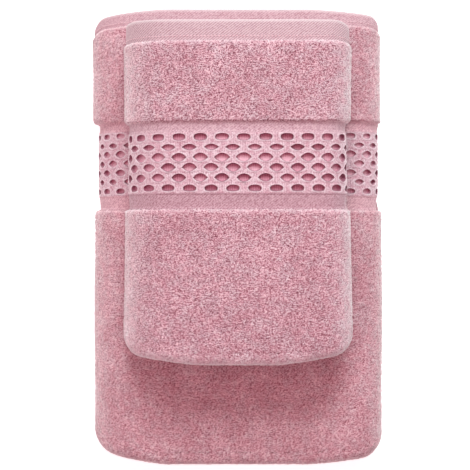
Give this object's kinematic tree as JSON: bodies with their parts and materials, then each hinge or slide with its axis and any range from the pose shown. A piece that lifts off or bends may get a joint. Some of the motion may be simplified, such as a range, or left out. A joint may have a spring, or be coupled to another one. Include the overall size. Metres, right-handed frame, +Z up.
{
  "type": "folded bath towel set",
  "caption": "Folded terry bath towel with a folded hand towel lying on it, each with an openwork lens-hole border and flat woven hems.",
  "frame": {"origin": "centre of the set's footprint, on the surface it lies on", "axes": "+Z up through the stack, +Y towards the ends with the hems, +X towards the side with the free flap edge"},
  "size_m": [0.226, 0.3515, 0.1223],
  "materials": {
    "terry": "matt looped cotton pile",
    "flat_weave": "smooth twill weave with a slight sheen",
    "openwork": "ribbed openwork weave",
    "thread": "sewing thread with a slight sheen"
  },
  "bodies": {
    "bath_towel": {"bath_near_hem": "flat_weave", "bath_near_hem_seam": "thread", "bath_near_end_terry": "terry", "bath_near_upper_stripe": "flat_weave", "bath_near_openwork_band": "openwork", "bath_near_lower_stripe": "flat_weave", "bath_main_terry": "terry", "bath_far_lower_stripe": "flat_weave", "bath_far_openwork_band": "openwork", "bath_far_upper_stripe": "flat_weave", "bath_far_end_terry": "terry", "bath_far_hem": "flat_weave", "bath_far_hem_seam": "thread"},
    "hand_towel": {"hand_near_hem": "flat_weave", "hand_near_hem_seam": "thread", "hand_near_end_terry": "terry", "hand_near_upper_stripe": "flat_weave", "hand_near_openwork_band": "openwork", "hand_near_lower_stripe": "flat_weave", "hand_main_terry": "terry", "hand_far_lower_stripe": "flat_weave", "hand_far_openwork_band": "openwork", "hand_far_upper_stripe": "flat_weave", "hand_far_end_terry": "terry", "hand_far_hem": "flat_weave", "hand_far_hem_seam": "thread"}
  },
  "joints": [
    {"name": "hand_towel_lift", "type": "slide", "parent": "bath_towel", "child": "hand_towel", "axis": [0, 0, 1], "range_m": [0, 0.15]}
  ]
}
